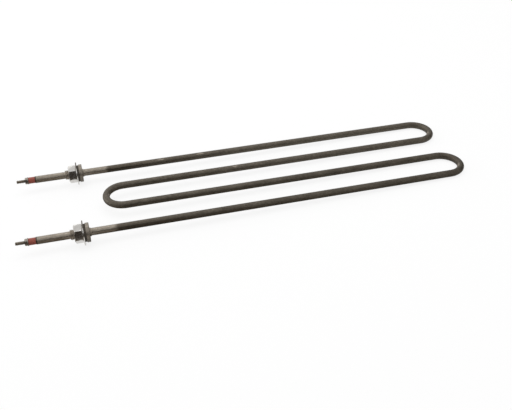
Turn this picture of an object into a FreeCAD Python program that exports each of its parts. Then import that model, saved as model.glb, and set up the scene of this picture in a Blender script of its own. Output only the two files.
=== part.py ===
"""Tubular heating element: one sheathed tube bent into four parallel legs, held by two wall bushings.

The origin lies midway between the two bushings, on the outer face of the wall that they clamp.
+X runs along the legs to the far loops, +Y from the front leg to the rear leg, and +Z up, square
to the plane of the legs. Outside the wall, on the -X side, stand the nuts, the bare ends of the
sheath, their seals and the threaded terminal studs. All sizes are in millimetres and degrees.
"""
import FreeCAD, Part
import os
import re
import Sketcher

# Driving sizes, each with what it measures
SIZES = (
    ("sheath_diameter", 8.5, "outside of the bent tube"),
    ("sheath_wall", 0.75, "wall of the bent tube"),
    ("leg_pitch", 43.0, "one leg's centre line to the next"),
    ("loop_reach", 469.0, "wall face to the outside of the far loops"),
    ("near_loop_gap", 25.5, "wall face to the outside of the near loop"),
    ("outer_length", 51.5, "wall face to the bare end of the sheath"),
    ("cold_reach", 37.0, "wall face to where the heating coil starts"),
    ("coil_diameter", 3.2, "outside of the wound coil"),
    ("shank_diameter", 3.0, "pin inside the sheath"),
    ("stud_diameter", 4.0, "threaded end of the pin"),
    ("stud_pitch", 0.7, "one turn of the terminal thread"),
    ("stud_free_length", 10.0, "thread beyond its nut"),
    ("stud_point", 0.5, "chamfer at the tip of the thread"),
    ("seal_length", 8.0, "collar of the end seal"),
    ("seal_step", 0.35, "how far the collar stands inside the sheath's surface"),
    ("seal_edge", 0.4, "chamfer on the collar's outer rim"),
    ("spigot_length", 6.0, "part of the seal inside the sheath"),
    ("stud_washer_diameter", 9.0, "plain washer against the seal"),
    ("stud_washer_thickness", 0.8, "plain washer against the seal"),
    ("stud_nut_flats", 7.0, "terminal nut across flats"),
    ("stud_nut_height", 3.2, "terminal nut along its axis"),
    ("thread_diameter", 12.0, "outside of the bushing's thread"),
    ("thread_pitch", 1.5, "one turn of the bushing's thread"),
    ("thread_length", 17.0, "bushing from flange to threaded end"),
    ("thread_chamfer", 0.5, "lead-in at the threaded end"),
    ("flange_diameter", 22.0, "round flange of the bushing"),
    ("flange_thickness", 4.0, "round flange of the bushing"),
    ("flange_edge", 0.5, "chamfer on both rims of the flange"),
    ("hub_wall", 0.6, "collar behind the flange, outside its bore"),
    ("hub_length", 1.5, "collar behind the flange"),
    ("braze_leg", 0.5, "run of the brazing metal along collar and sheath"),
    ("gasket_diameter", 20.0, "fibre ring under the flange"),
    ("gasket_thickness", 2.0, "fibre ring under the flange"),
    ("washer_diameter", 28.0, "wide washer outside the wall"),
    ("washer_thickness", 1.2, "wide washer outside the wall"),
    ("washer_edge", 0.2, "broken edge of the wide washer"),
    ("nut_flats", 19.0, "mounting nut across flats"),
    ("nut_height", 9.5, "mounting nut along its axis"),
    ("nut_turn", 9.5, "lean of both nuts' upper flat towards the front"),
    ("fit_clearance", 0.05, "round a shaft in its own bore and a thread in its nut"),
    ("washer_clearance", 0.25, "round a thread in a washer or gasket"),
    ("crown_share", 0.95, "bearing circle of a nut over its flats"),
    ("crown_angle", 30.0, "slope of a nut's chamfer"),
)
ALIASES = {alias for alias, value, meaning in SIZES}

# Share of a thread's pitch from its outside in to the surface where its flanks meet a nut's
FLANK_SHARE = 0.325

# Places along X and radii that follow from the driving sizes
DERIVED = {
    "outer_leg": "1.5 * leg_pitch",
    "inner_leg": "0.5 * leg_pitch",
    "far_centre": "loop_reach - (leg_pitch + sheath_diameter) / 2",
    "near_centre": "near_loop_gap + (leg_pitch + sheath_diameter) / 2",
    "sheath_radius": "sheath_diameter / 2",
    "sheath_bore": "sheath_diameter - 2 * sheath_wall",
    "sheath_end": "-outer_length",
    "spigot_end": "sheath_end + spigot_length",
    "seal_face": "sheath_end - seal_length",
    "stud_nut_seat": "seal_face - stud_washer_thickness",
    "stud_nut_face": "stud_nut_seat - stud_nut_height",
    "stud_tip": "stud_nut_face - stud_free_length",
    "stud_radius": "stud_diameter / 2",
    "stud_flank_radius": "stud_radius - %s * stud_pitch" % FLANK_SHARE,
    "thread_radius": "thread_diameter / 2",
    "thread_flank_radius": "thread_radius - %s * thread_pitch" % FLANK_SHARE,
    "flange_seat": "gasket_thickness",
    "thread_end": "flange_seat - thread_length",
    "flange_back": "flange_seat + flange_thickness",
    "hub_end": "flange_back + hub_length",
    "bushing_bore": "sheath_radius + fit_clearance",
    "hub_radius": "bushing_bore + hub_wall",
    "nut_seat": "-washer_thickness",
    "nut_face": "nut_seat - nut_height",
}

# The two terminals by their side of the element, and the sign of Y there
TERMINALS = (("front", -1), ("rear", 1))

SHEET = "Sizes"
FULL_TURN = 360
HEXAGON_SIDES = 6
SIDE_TURN = FULL_TURN // HEXAGON_SIDES

# A cut that takes a rim off reaches this much further than the rim itself
OVERCUT = 1.1


def expression(text):
    """Spell a formula in named sizes as an expression on the sheet."""
    def term(match):
        word = match.group()
        if word in DERIVED:
            return "(" + expression(DERIVED[word]) + ")"
        if word in ALIASES:
            return SHEET + "." + word
        return word
    return re.sub(r"[a-z_]+", term, text)


def make_sheet(doc):
    """Write the driving sizes into the sheet, one row each."""
    sheet = doc.addObject("Spreadsheet::Sheet", SHEET)
    for row, (alias, value, meaning) in enumerate(SIZES, start=1):
        sheet.set("A%d" % row, alias.replace("_", " ") + ": " + meaning)
        sheet.set("B%d" % row, str(value))
        sheet.setAlias("B%d" % row, alias)
    doc.recompute()
    return sheet


def measure(doc, text):
    """Work out a formula in named sizes as a number."""
    return float(doc.getObject(SHEET).evalExpression(expression(text)))


def bind(item, prop, text):
    """Tie one property to a formula in named sizes."""
    item.setExpression(prop, expression(text))


def new_body(doc, name):
    """Start a sub-part whose label is its file's name."""
    body = doc.addObject("PartDesign::Body", name)
    body.Label = name
    return body


def place_at_terminal(body, sign, turn="0"):
    """Set a body that is drawn about the X axis on the outer leg of one side."""
    body.Placement = FreeCAD.Placement(FreeCAD.Vector(), FreeCAD.Rotation(FreeCAD.Vector(1, 0, 0), 1))
    bind(body, "Placement.Base.y", "%d * outer_leg" % sign)
    bind(body, "Placement.Rotation.Angle", turn)


def sketch_on(body, role, name, offset=None):
    """Add a sketch on one of the body's origin planes, moved along the plane's normal."""
    sketch = body.newObject("Sketcher::SketchObject", body.Name + "_" + name)
    plane = [item for item in body.Origin.OriginFeatures if item.Role == role][0]
    sketch.AttachmentSupport = (plane, [""])
    sketch.MapMode = "FlatFace"
    if offset:
        bind(sketch, "AttachmentOffset.Base.z", offset)
    return sketch


def pin_point(sketch, edge, end, across, up):
    """Hold a point of the sketch at two formulas, measured from the sketch's origin."""
    for kind, text in (("DistanceX", across), ("DistanceY", up)):
        value = measure(sketch.Document, text)
        index = sketch.addConstraint(Sketcher.Constraint(kind, edge, end, value))
        bind(sketch, "Constraints[%d]" % index, text)


def draw_outline(sketch, corners):
    """Draw a closed outline through corners that are each held by two formulas."""
    doc = sketch.Document
    points = [FreeCAD.Vector(measure(doc, x), measure(doc, y), 0) for x, y in corners]
    first = sketch.GeometryCount
    count = len(points)
    for number, point in enumerate(points):
        sketch.addGeometry(Part.LineSegment(point, points[(number + 1) % count]), False)
    for number, (across, up) in enumerate(corners):
        edge = first + number
        following = first + (number + 1) % count
        sketch.addConstraint(Sketcher.Constraint("Coincident", edge, 2, following, 1))
        pin_point(sketch, edge, 1, across, up)


def draw_circle(sketch, across, up, diameter):
    """Draw a circle whose centre and diameter are held by formulas."""
    centre = FreeCAD.Vector(measure(sketch.Document, across), measure(sketch.Document, up), 0)
    radius = measure(sketch.Document, diameter) / 2
    edge = sketch.addGeometry(Part.Circle(centre, FreeCAD.Vector(0, 0, 1), radius), False)
    pin_point(sketch, edge, 3, across, up)
    index = sketch.addConstraint(Sketcher.Constraint("Diameter", edge, 2 * radius))
    bind(sketch, "Constraints[%d]" % index, diameter)


def turned(doc, name, sign, corners):
    """Turn an outline, given as places along X and radii, about the leg's centre line."""
    body = new_body(doc, name)
    sketch = sketch_on(body, "XY_Plane", "Outline")
    draw_outline(sketch, corners)
    turning = body.newObject("PartDesign::Revolution", name + "_Turning")
    turning.Profile = sketch
    turning.ReferenceAxis = (sketch, ["H_Axis"])
    turning.Angle = FULL_TURN
    place_at_terminal(body, sign)
    return body


def ring(doc, name, sign, start, end, bore, outside, edge="0"):
    """Turn a flat ring whose outer rims may be broken by a small chamfer."""
    corners = [(start, bore), (end, bore)]
    if edge == "0":
        corners += [(end, outside), (start, outside)]
    else:
        corners += [(end, outside + " - " + edge), (end + " - " + edge, outside)]
        corners += [(start + " + " + edge, outside), (start, outside + " - " + edge)]
    return turned(doc, name, sign, corners)


def leg_path(body, name, start):
    """Draw the centre line through all four legs, from X = start to X = start again."""
    doc = body.Document
    sketch = sketch_on(body, "XY_Plane", name)
    near, far, first = (measure(doc, text) for text in ("near_centre", "far_centre", start))
    outer, inner = measure(doc, "outer_leg"), measure(doc, "inner_leg")
    legs = (("outer_leg", -outer, first, far), ("inner_leg", -inner, far, near),
            ("inner_leg", inner, near, far), ("outer_leg", outer, far, first))
    ends = ((start, "far_centre"), ("far_centre", "near_centre"),
            ("near_centre", "far_centre"), ("far_centre", start))
    for (word, y, x_from, x_to), (from_text, to_text) in zip(legs, ends):
        edge = sketch.addGeometry(
            Part.LineSegment(FreeCAD.Vector(x_from, y, 0), FreeCAD.Vector(x_to, y, 0)), False)
        side = "-1 * " if y < 0 else ""
        pin_point(sketch, edge, 1, from_text, side + word)
        pin_point(sketch, edge, 2, to_text, side + word)
    loops = ((far, -(outer + inner) / 2, far + inner), (near, 0, near - inner),
             (far, (outer + inner) / 2, far + inner))
    for number, (x, y, crown) in enumerate(loops):
        below, above = FreeCAD.Vector(x, y - inner, 0), FreeCAD.Vector(x, y + inner, 0)
        arc = Part.Arc(below, FreeCAD.Vector(crown, y, 0), above)
        edge = sketch.addGeometry(arc, False)
        lower, upper = (1, 2) if crown > x else (2, 1)
        sketch.addConstraint(Sketcher.Constraint("Tangent", number, 2, edge, lower))
        sketch.addConstraint(Sketcher.Constraint("Coincident", number + 1, 1, edge, upper))
    return sketch


def sweep(body, kind, name, start, diameters):
    """Sweep concentric circles along the legs, from X = start on one outer leg to the other."""
    path = leg_path(body, name + "_Path", start)
    profile = sketch_on(body, "YZ_Plane", name + "_Section", start)
    for diameter in diameters:
        draw_circle(profile, "-1 * outer_leg", "0", diameter)
    body.Document.recompute()
    pipe = body.newObject(kind, body.Name + "_" + name)
    pipe.Profile = profile
    edges = ["Edge%d" % number for number in range(1, len(path.Geometry) + 1)]
    pipe.Spine = (path, edges)
    return pipe


def sheath(doc):
    """The thin tube that is bent into four legs and three loops."""
    body = new_body(doc, "sheath")
    sweep(body, "PartDesign::AdditivePipe", "Tube", "sheath_end", ("sheath_diameter", "sheath_bore"))
    return body


def resistance_coil(doc):
    """The closed outer shape of the fine coil, between the inner ends of the two pins."""
    body = new_body(doc, "resistance_coil")
    sweep(body, "PartDesign::AdditivePipe", "Winding", "cold_reach", ("coil_diameter",))
    return body


def magnesia_fill(doc):
    """The pressed powder that fills the sheath round the coil and the two pins."""
    body = new_body(doc, "magnesia_fill")
    sweep(body, "PartDesign::AdditivePipe", "Filling", "spigot_end", ("sheath_bore",))
    sweep(body, "PartDesign::SubtractivePipe", "Coil_Channel", "cold_reach", ("coil_diameter",))
    sketch = sketch_on(body, "YZ_Plane", "Pin_Channels", "cold_reach")
    for side in ("-1 * ", ""):
        draw_circle(sketch, side + "outer_leg", "0", "shank_diameter")
    channels = body.newObject("PartDesign::Pocket", "magnesia_fill_Pin_Channels_Cut")
    channels.Profile = sketch
    bind(channels, "Length", "cold_reach - spigot_end")
    return body


def cold_pin(doc, side, sign):
    """Threaded stud outside, plain shank inside, up to the end of the coil.

    Inside its nut the thread is drawn where its flanks meet the nut's.
    """
    return turned(doc, "cold_pin_" + side, sign, (
        ("stud_tip", "0"),
        ("cold_reach", "0"),
        ("cold_reach", "shank_diameter / 2"),
        ("spigot_end", "shank_diameter / 2"),
        ("spigot_end", "stud_radius"),
        ("stud_nut_seat", "stud_radius"),
        ("stud_nut_seat", "stud_flank_radius"),
        ("stud_nut_face", "stud_flank_radius"),
        ("stud_nut_face", "stud_radius"),
        ("stud_tip + stud_point", "stud_radius"),
        ("stud_tip", "stud_radius - stud_point"),
    ))


def end_seal(doc, side, sign):
    """Soft plug in the mouth of the sheath, with a collar that stands out round the stud."""
    return turned(doc, "end_seal_" + side, sign, (
        ("seal_face", "stud_radius + fit_clearance"),
        ("spigot_end", "stud_radius + fit_clearance"),
        ("spigot_end", "sheath_bore / 2"),
        ("sheath_end", "sheath_bore / 2"),
        ("sheath_end", "sheath_radius - seal_step"),
        ("seal_face + seal_edge", "sheath_radius - seal_step"),
        ("seal_face", "sheath_radius - seal_step - seal_edge"),
    ))


def bushing(doc, side, sign):
    """Threaded sleeve with a round flange and a short collar, brazed on the sheath.

    Inside its nut the thread is drawn where its flanks meet the nut's.
    """
    return turned(doc, "bushing_" + side, sign, (
        ("thread_end", "bushing_bore"),
        ("hub_end", "bushing_bore"),
        ("hub_end", "hub_radius"),
        ("flange_back", "hub_radius"),
        ("flange_back", "flange_diameter / 2 - flange_edge"),
        ("flange_back - flange_edge", "flange_diameter / 2"),
        ("flange_seat + flange_edge", "flange_diameter / 2"),
        ("flange_seat", "flange_diameter / 2 - flange_edge"),
        ("flange_seat", "thread_radius"),
        ("nut_seat", "thread_radius"),
        ("nut_seat", "thread_flank_radius"),
        ("nut_face", "thread_flank_radius"),
        ("nut_face", "thread_radius"),
        ("thread_end + thread_chamfer", "thread_radius"),
        ("thread_end", "thread_radius - thread_chamfer"),
    ))


def braze_ring(doc, side, sign):
    """Brazing metal in the corner between the bushing's collar and the sheath."""
    return turned(doc, "braze_ring_" + side, sign, (
        ("hub_end", "sheath_radius"),
        ("hub_end + braze_leg", "sheath_radius"),
        ("hub_end", "sheath_radius + braze_leg"),
    ))


def hex_nut(doc, name, sign, flats, height, flank_radius, seat):
    """Hexagon nut on a terminal's axis, bearing on X = seat and standing out towards -X."""
    body = new_body(doc, name)
    corner = "(%s / 2 / cos(%d))" % (flats, SIDE_TURN / 2)
    turns = [SIDE_TURN / 2 + SIDE_TURN * number for number in range(HEXAGON_SIDES)]
    sketch = sketch_on(body, "YZ_Plane", "Hexagon", seat)
    corners = [("%s * sin(%d)" % (corner, turn), "%s * cos(%d)" % (corner, turn)) for turn in turns]
    draw_outline(sketch, corners)
    draw_circle(sketch, "0", "0", "2 * (%s + fit_clearance)" % flank_radius)
    prism = body.newObject("PartDesign::Pad", name + "_Prism")
    prism.Profile = sketch
    prism.Reversed = True
    bind(prism, "Length", height)
    crown = "(%s * crown_share / 2)" % flats
    clear = "(%s * %s)" % (corner, OVERCUT)
    depth = "((%s - %s) * tan(crown_angle))" % (clear, crown)
    outer_face = "(%s - %s)" % (seat, height)
    for end, face, inward in (("Seat", seat, " - "), ("Face", outer_face, " + ")):
        wedge = sketch_on(body, "XY_Plane", end + "_Crown")
        draw_outline(wedge, [(face, crown), (face, clear), (face + inward + depth, clear)])
        groove = body.newObject("PartDesign::Groove", name + "_" + end + "_Chamfer")
        groove.Profile = wedge
        groove.ReferenceAxis = (wedge, ["H_Axis"])
        groove.Angle = FULL_TURN
    place_at_terminal(body, sign, "nut_turn")
    return body


def terminal(doc, side, sign):
    """All the pieces that sit round one end of the sheath."""
    return [
        cold_pin(doc, side, sign),
        end_seal(doc, side, sign),
        ring(doc, "stud_washer_" + side, sign, "stud_nut_seat", "seal_face",
             "stud_radius + washer_clearance", "stud_washer_diameter / 2"),
        hex_nut(doc, "stud_nut_" + side, sign, "stud_nut_flats", "stud_nut_height",
                "stud_flank_radius", "stud_nut_seat"),
        bushing(doc, side, sign),
        braze_ring(doc, side, sign),
        ring(doc, "gasket_" + side, sign, "0", "flange_seat",
             "thread_radius + washer_clearance", "gasket_diameter / 2"),
        ring(doc, "wall_washer_" + side, sign, "nut_seat", "0",
             "thread_radius + washer_clearance", "washer_diameter / 2", "washer_edge"),
        hex_nut(doc, "mounting_nut_" + side, sign, "nut_flats", "nut_height",
                "thread_flank_radius", "nut_seat"),
    ]


def check(doc, bodies):
    """Stop at any feature that failed and any sub-part without one sound solid."""
    for item in doc.Objects:
        if "Invalid" in item.State or "Error" in item.State:
            raise RuntimeError("failed feature: " + item.Name)
    for body in bodies:
        shape = body.Shape
        if shape.isNull() or not shape.isValid() or len(shape.Solids) != 1:
            raise RuntimeError("unsound sub-part: " + body.Label)


def main():
    """Build every sub-part, check it and write it out."""
    doc = FreeCAD.newDocument("heating_element")
    make_sheet(doc)
    bodies = [sheath(doc), magnesia_fill(doc), resistance_coil(doc)]
    for side, sign in TERMINALS:
        bodies += terminal(doc, side, sign)
    doc.recompute()
    check(doc, bodies)
    os.makedirs("parts", exist_ok=True)
    for body in bodies:
        body.Shape.exportStep("parts/%s.step" % body.Label)
        print("%-22s %10.2f mm3" % (body.Label, body.Shape.Volume))


main()
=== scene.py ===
"""Looks of the tubular heating element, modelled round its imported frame.

Lengths are in metres in the frame's own axes: +X runs along the legs to the far loops, +Y from the
front leg to the rear leg, +Z up. X = 0 is the outer face of the wall that the bushings clamp, and
the wires are fastened on the -X side of it.
"""
import logging
import math
from contextlib import contextmanager
from dataclasses import dataclass, field
from enum import Enum
from typing import Iterator, Optional, Sequence, Union

import bmesh
import bpy
from mathutils import Matrix, Vector


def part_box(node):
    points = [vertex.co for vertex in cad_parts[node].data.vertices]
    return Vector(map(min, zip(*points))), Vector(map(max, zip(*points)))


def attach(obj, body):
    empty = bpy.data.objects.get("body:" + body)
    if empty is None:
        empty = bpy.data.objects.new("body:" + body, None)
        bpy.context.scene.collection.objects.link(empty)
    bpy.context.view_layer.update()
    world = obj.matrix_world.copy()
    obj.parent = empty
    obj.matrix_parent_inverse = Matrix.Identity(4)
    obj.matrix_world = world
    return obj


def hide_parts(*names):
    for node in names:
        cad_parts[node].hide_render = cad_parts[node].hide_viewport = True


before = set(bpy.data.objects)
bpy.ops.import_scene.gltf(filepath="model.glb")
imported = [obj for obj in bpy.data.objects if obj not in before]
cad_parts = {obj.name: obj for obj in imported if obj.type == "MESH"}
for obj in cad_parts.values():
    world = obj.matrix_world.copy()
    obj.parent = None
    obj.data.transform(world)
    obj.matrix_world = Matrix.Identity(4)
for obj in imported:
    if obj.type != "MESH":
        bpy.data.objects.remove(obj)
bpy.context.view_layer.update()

MM = 0.001
TUBE_WALL = 0.75 * MM
BODY = "root"
ORIGIN = (0.0, 0.0, 0.0)
ALONG = (1.0, 0.0, 0.0)
FULL_TURN = 2 * math.pi
HALF_TURN = math.pi

# Vertices closer than this are one, and an outline starts as a plane of this size
WELD = 0.002 * MM
SEED = 0.1 * MM

# Edges sharper than this stay sharp under smooth shading
SHARP = math.radians(32)

# What the tube's vertices carry: their place on the tube pulled straight
STRAIGHT = "straight"

Piece = bpy.types.Object
Material = bpy.types.Material
Point = tuple[float, float]
Place = tuple[float, float, float]
Colour = tuple[float, float, float]
Number = Union[int, float, "Wire"]

log = logging.getLogger("heating_element")


class Side(Enum):
    """The two ends of the sheath, by the leg that each is on."""

    FRONT = "front"
    REAR = "rear"


class Cut(Enum):
    """What a tool does to the piece that it meets."""

    AWAY = "DIFFERENCE"
    WITHIN = "INTERSECT"


@dataclass(frozen=True)
class Span:
    """Where a round node of the frame lies: its ends along X, its radius and its leg's Y."""

    start: float
    end: float
    radius: float
    leg: float

    @classmethod
    def of(cls, node: str) -> "Span":
        """Measure a node of the frame along X, with half its height as the radius."""
        low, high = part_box(node)
        return cls(low.x, high.x, (high.z - low.z) / 2, (low.y + high.y) / 2)

    @property
    def length(self) -> float:
        """Length along X."""
        return self.end - self.start


LEG = {side: Span.of("gasket_" + side.value).leg for side in Side}


@contextmanager
def editing(piece: Piece) -> Iterator[None]:
    """Open a piece in edit mode with all of it selected, and close it again.

    Args:
        piece: the mesh object to edit.
    """
    activate(piece)
    bpy.ops.object.mode_set(mode="EDIT")
    bpy.ops.mesh.select_mode(type="VERT")
    bpy.ops.mesh.select_all(action="SELECT")
    yield
    bpy.ops.object.mode_set(mode="OBJECT")


def activate(piece: Piece) -> None:
    """Make a piece the only selected object and the active one.

    Args:
        piece: the object to work on.
    """
    bpy.ops.object.select_all(action="DESELECT")
    piece.select_set(True)
    bpy.context.view_layer.objects.active = piece


def claim(name: str) -> Piece:
    """Name the primitive that was just added and settle its place into its mesh.

    Args:
        name: the name that it gets.

    Returns:
        The new object.
    """
    piece = bpy.context.active_object
    piece.name = name
    piece.data.name = name
    bpy.ops.object.transform_apply(location=True, rotation=True, scale=True)
    return piece


def apply_modifier(piece: Piece, kind: str, **settings: object) -> None:
    """Add one modifier with its settings and apply it.

    Args:
        piece: the piece that gets it.
        kind: the modifier's type.
        settings: its properties by name.
    """
    activate(piece)
    modifier = piece.modifiers.new(kind.title(), kind)
    for name, value in settings.items():
        setattr(modifier, name, value)
    bpy.ops.object.modifier_apply(modifier=modifier.name)


def carve(piece: Piece, tool: Piece, cut: Cut) -> None:
    """Cut a piece with a tool, which is used up.

    Args:
        piece: the piece that is cut.
        tool: the closed mesh that cuts it.
        cut: whether the tool is taken away or bounds what stays.
    """
    apply_modifier(piece, "BOOLEAN", object=tool, operation=cut.value, solver="EXACT")
    discard(tool)


def discard(piece: Piece) -> None:
    """Remove an object and its mesh.

    Args:
        piece: the object to remove.
    """
    mesh = piece.data
    bpy.data.objects.remove(piece)
    bpy.data.meshes.remove(mesh)


def trace(name: str, points: Sequence[Point], closed: bool = True) -> Piece:
    """Draw an outline above the X axis by extruding one vertex from point to point.

    Args:
        name: the outline's name.
        points: places along X and radii.
        closed: whether the last point is joined to the first.

    Returns:
        The outline as an object of edges alone.
    """
    bpy.ops.object.select_all(action="DESELECT")
    start, radius = points[0]
    bpy.ops.mesh.primitive_plane_add(size=SEED, location=(start, 0, radius))
    outline = claim(name)
    with editing(outline):
        bpy.ops.mesh.merge(type="CENTER")
        for here, there in zip(points, points[1:]):
            step = (there[0] - here[0], 0, there[1] - here[1])
            bpy.ops.mesh.extrude_vertices_move(TRANSFORM_OT_translate={"value": step})
        if closed:
            ends = [Vector((along, 0, radius)) for along, radius in (points[0], points[-1])]
            bpy.ops.mesh.select_all(action="DESELECT")
            mesh = bmesh.from_edit_mesh(outline.data)
            for vertex in mesh.verts:
                vertex.select_set(min((vertex.co - end).length for end in ends) < WELD)
            mesh.select_flush_mode()
            bmesh.update_edit_mesh(outline.data)
            bpy.ops.mesh.edge_face_add()
    return outline


def tidy_skin(piece: Piece) -> None:
    """Merge doubled vertices of a piece and point its faces outwards.

    Args:
        piece: the piece to tidy.
    """
    with editing(piece):
        bpy.ops.mesh.remove_doubles(threshold=WELD)
        bpy.ops.mesh.normals_make_consistent(inside=False)


def lathe(name: str, points: Sequence[Point], sides: int, closed: bool = True) -> Piece:
    """Turn an outline about the X axis into a closed solid.

    Args:
        name: the piece's name.
        points: places along X and radii, once round the section.
        sides: steps of the full turn.
        closed: whether the section closes on itself away from the axis.

    Returns:
        The turned piece.
    """
    piece = trace(name, points, closed)
    with editing(piece):
        bpy.ops.mesh.spin(steps=sides, angle=FULL_TURN, center=ORIGIN, axis=ALONG)
    tidy_skin(piece)
    return piece


def arc(centre: Point, radius: float, start: float, end: float, steps: int) -> list[Point]:
    """List the points of an arc in an outline.

    Args:
        centre: the arc's centre along X and off the axis.
        radius: the arc's radius.
        start: angle of the first point in degrees, 0 towards +X and 90 away from the axis.
        end: angle of the last point in degrees.
        steps: how many chords the arc has.

    Returns:
        The points, both ends included.
    """
    turns = [math.radians(start + (end - start) * step / steps) for step in range(steps + 1)]
    return [(centre[0] + radius * math.cos(turn), centre[1] + radius * math.sin(turn)) for turn in turns]


def round_edges(piece: Piece, width: float, segments: int = 3) -> None:
    """Round the sharp edges of a piece.

    Args:
        piece: the piece to finish.
        width: how far each rounding reaches along its faces.
        segments: facets across one rounding.
    """
    apply_modifier(piece, "BEVEL", width=width, segments=segments, limit_method="ANGLE",
                   angle_limit=SHARP, use_clamp_overlap=True, harden_normals=False)


@dataclass(frozen=True)
class Thread:
    """A metric thread about the X axis, with 60 degree flanks."""

    radius: float
    pitch: float
    sides: int

    # Shares of the pitch: flat at crest, flat at root, and depth of an outside and an inside thread
    crest_flat: float = 1 / 8
    root_flat: float = 1 / 4
    outside_depth: float = 0.6134
    inside_depth: float = 0.5413
    flank: float = math.tan(math.radians(30))

    @property
    def root_radius(self) -> float:
        """Radius at the bottom of the outside thread."""
        return self.radius - self.outside_depth * self.pitch

    @property
    def bore_radius(self) -> float:
        """Radius at the crests of the inside thread."""
        return self.radius - self.inside_depth * self.pitch

    def helix(self, name: str, section: Sequence[Point], start: float, end: float) -> Piece:
        """Wind a closed section about the X axis, whole turns long.

        Args:
            name: the tool's name.
            section: the section's points, along X from the thread's own line and as radii.
            start: where the winding has to start.
            end: what the winding has to pass.

        Returns:
            The closed helical tool.
        """
        first = math.floor(start / self.pitch) * self.pitch
        turns = math.ceil((end - first) / self.pitch)
        tool = trace(name, [(first + along, radius) for along, radius in section])
        apply_modifier(tool, "SCREW", axis="X", angle=FULL_TURN, screw_offset=self.pitch,
                       iterations=turns, steps=self.sides, render_steps=self.sides,
                       use_merge_vertices=True, merge_threshold=WELD)
        with editing(tool):
            bpy.ops.mesh.fill_holes(sides=len(section))
        tidy_skin(tool)
        return tool

    def groove(self, start: float, end: float, beyond: float) -> Piece:
        """Make the tool that cuts this thread on a shaft.

        Args:
            start: where the thread starts along X.
            end: where it runs out.
            beyond: how far the tool stands out of the shaft.

        Returns:
            The helical tool.
        """
        root = self.root_flat * self.pitch / 2
        top = (1 - self.crest_flat) * self.pitch / 2 + beyond * self.flank
        section = ((-top, self.radius + beyond), (-root, self.root_radius),
                   (root, self.root_radius), (top, self.radius + beyond))
        return self.helix("thread_groove", section, start, end)

    def tap(self, start: float, end: float, gap: float) -> Piece:
        """Make the tool that cuts the matching thread in a nut's bore.

        Args:
            start: where the thread starts along X.
            end: where it ends.
            gap: play between the two threads.

        Returns:
            The helical tool, half a pitch away from the groove.
        """
        half = self.pitch / 2
        crest = self.crest_flat * self.pitch / 2
        reach = self.radius + gap
        inner = self.bore_radius - gap
        wide = crest + (reach - inner) * self.flank
        section = ((half - wide, inner), (half - crest, reach), (half + crest, reach), (half + wide, inner))
        return self.helix("thread_tap", section, start, end)


class Wire:
    """A socket of a node tree whose arithmetic adds Math nodes."""

    def __init__(self, bench: "NodeBench", socket: bpy.types.NodeSocket) -> None:
        """Wrap an output socket of the tree on this bench."""
        self.bench = bench
        self.socket = socket

    def __add__(self, other: Number) -> "Wire":
        """Add."""
        return self.bench.math("ADD", self, other)

    __radd__ = __add__

    def __mul__(self, other: Number) -> "Wire":
        """Multiply."""
        return self.bench.math("MULTIPLY", self, other)

    __rmul__ = __mul__

    def __sub__(self, other: Number) -> "Wire":
        """Subtract from this value."""
        return self.bench.math("SUBTRACT", self, other)

    def __rsub__(self, other: Number) -> "Wire":
        """Subtract this value."""
        return self.bench.math("SUBTRACT", other, self)

    def __truediv__(self, other: Number) -> "Wire":
        """Divide this value."""
        return self.bench.math("DIVIDE", self, other)

    def __pow__(self, other: Number) -> "Wire":
        """Raise this value to a power."""
        return self.bench.math("POWER", self, other)

    def __abs__(self) -> "Wire":
        """Drop the sign."""
        return self.bench.math("ABSOLUTE", self)

    def ease(self, low: float, high: float) -> "Wire":
        """Rise smoothly from 0 at the low value to 1 at the high one."""
        return self.bench.add("ShaderNodeMapRange", {"interpolation_type": "SMOOTHSTEP"},
                              {0: self, 1: low, 2: high, 3: 0.0, 4: 1.0})

    def clamped(self) -> "Wire":
        """Hold the value between 0 and 1."""
        return self.bench.add("ShaderNodeClamp", {}, {0: self, 1: 0.0, 2: 1.0})


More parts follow.
